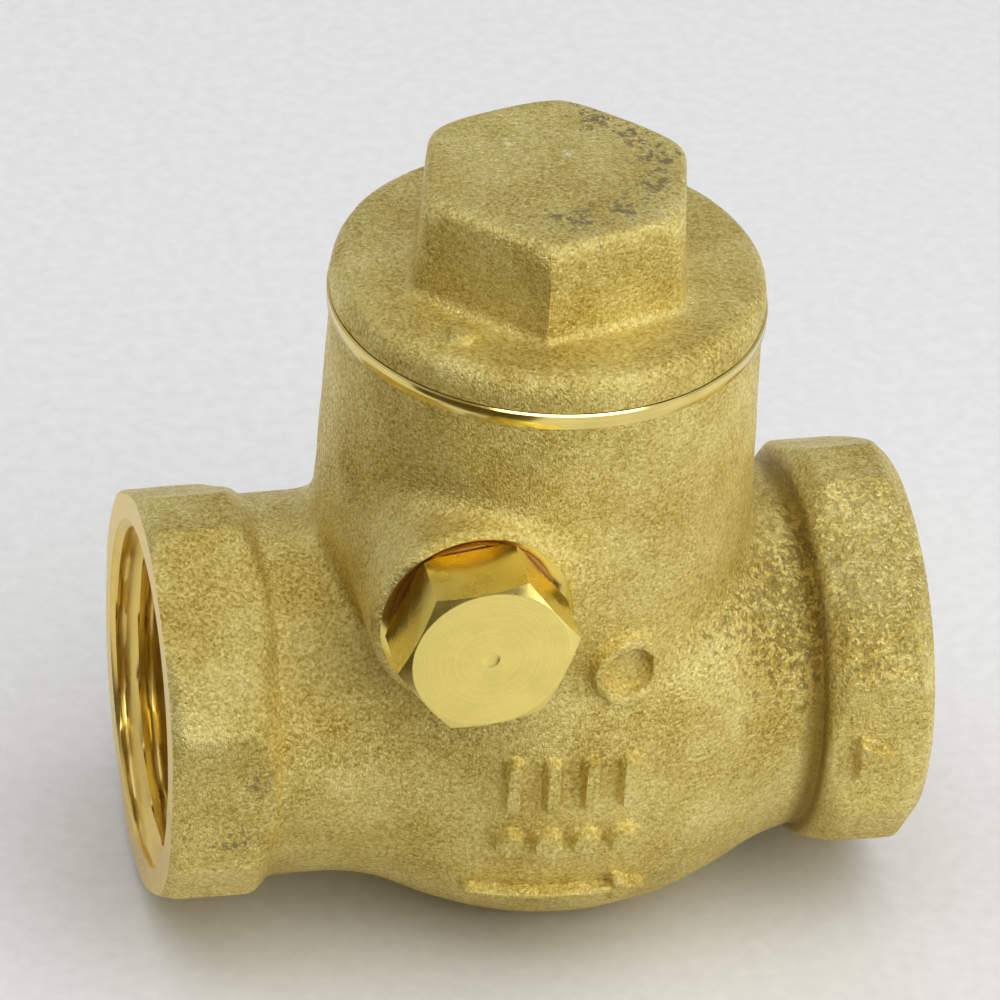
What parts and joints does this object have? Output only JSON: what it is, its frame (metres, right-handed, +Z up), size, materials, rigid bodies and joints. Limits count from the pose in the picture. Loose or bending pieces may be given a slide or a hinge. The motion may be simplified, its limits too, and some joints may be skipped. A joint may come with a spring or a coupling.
{
  "type": "check valve",
  "caption": "Swing check valve: cast body with threaded hex ends, screwed hex bonnet, side hinge-pin plug and a hinged sealing disc that passes flow one way.",
  "frame": {"origin": "on the small flat under the belly that the valve stands on, straight below the axis of the bonnet", "axes": "+X along the flow, from inlet to outlet; +Z up along the bonnet axis; -Y towards the hinge pin plug"},
  "size_m": [0.0482, 0.0325, 0.0513],
  "materials": {
    "cast_brass": "sand-cast, fine grain, with machined bore and rim",
    "bonnet_brass": "sand-cast, fine grain",
    "machined_brass": "bright, turned",
    "arm_brass": "cast, lightly tumbled",
    "disc_brass": "turned",
    "stainless_steel": "ground rod",
    "seal_rubber": "moulded nitrile rubber",
    "gasket_fibre": "pressed fibre sheet",
    "seal_copper": "annealed copper washer"
  },
  "bodies": {
    "valve_body": {"body": "cast_brass"},
    "bonnet_seal_ring": {"bonnet_gasket": "gasket_fibre"},
    "bonnet_cover": {"bonnet": "bonnet_brass"},
    "plug_seal_ring": {"plug_gasket": "seal_copper"},
    "pin_plug": {"hinge_plug": "machined_brass"},
    "pivot_pin": {"hinge_pin": "stainless_steel"},
    "clapper_arm": {"hinge_arm": "arm_brass"},
    "clapper_disc": {"disc": "disc_brass", "disc_seal": "seal_rubber", "seal_retainer": "disc_brass", "seal_screw": "disc_brass", "disc_washer": "disc_brass", "disc_nut": "disc_brass"}
  },
  "joints": [
    {"name": "clapper_swing", "type": "hinge", "parent": "valve_body", "child": "clapper_arm", "pos_m": [-0.0065, 0, 0.0286], "axis": [0, -1, 0], "range_deg": [0, 50]},
    {"name": "disc_spin", "type": "hinge", "parent": "clapper_arm", "child": "clapper_disc", "pos_m": [-0.0026, 0, 0.0144], "axis": [1, 0, 0], "continuous": true},
    {"name": "pin_roll", "type": "hinge", "parent": "valve_body", "child": "pivot_pin", "pos_m": [-0.0065, 0, 0.0286], "axis": [0, -1, 0], "continuous": true},
    {"name": "bonnet_lift", "type": "slide", "parent": "valve_body", "child": "bonnet_seal_ring", "axis": [0, 0, 1], "range_m": [0, 0.006]},
    {"name": "bonnet_turn", "type": "hinge", "parent": "bonnet_seal_ring", "child": "bonnet_cover", "pos_m": [0, 0, 0.0427], "axis": [0, 0, 1], "range_deg": [0, 1441]},
    {"name": "plug_travel", "type": "slide", "parent": "valve_body", "child": "plug_seal_ring", "axis": [0, -1, 0], "range_m": [0, 0.004]},
    {"name": "plug_turn", "type": "hinge", "parent": "plug_seal_ring", "child": "pin_plug", "pos_m": [-0.0065, -0.0133, 0.0286], "axis": [0, -1, 0], "range_deg": [0, 1441]}
  ],
  "couplings": [
    {"joint": "bonnet_turn", "follows": "bonnet_lift", "rad_per_m": 4188.8},
    {"joint": "plug_turn", "follows": "plug_travel", "rad_per_m": 6283.2}
  ]
}
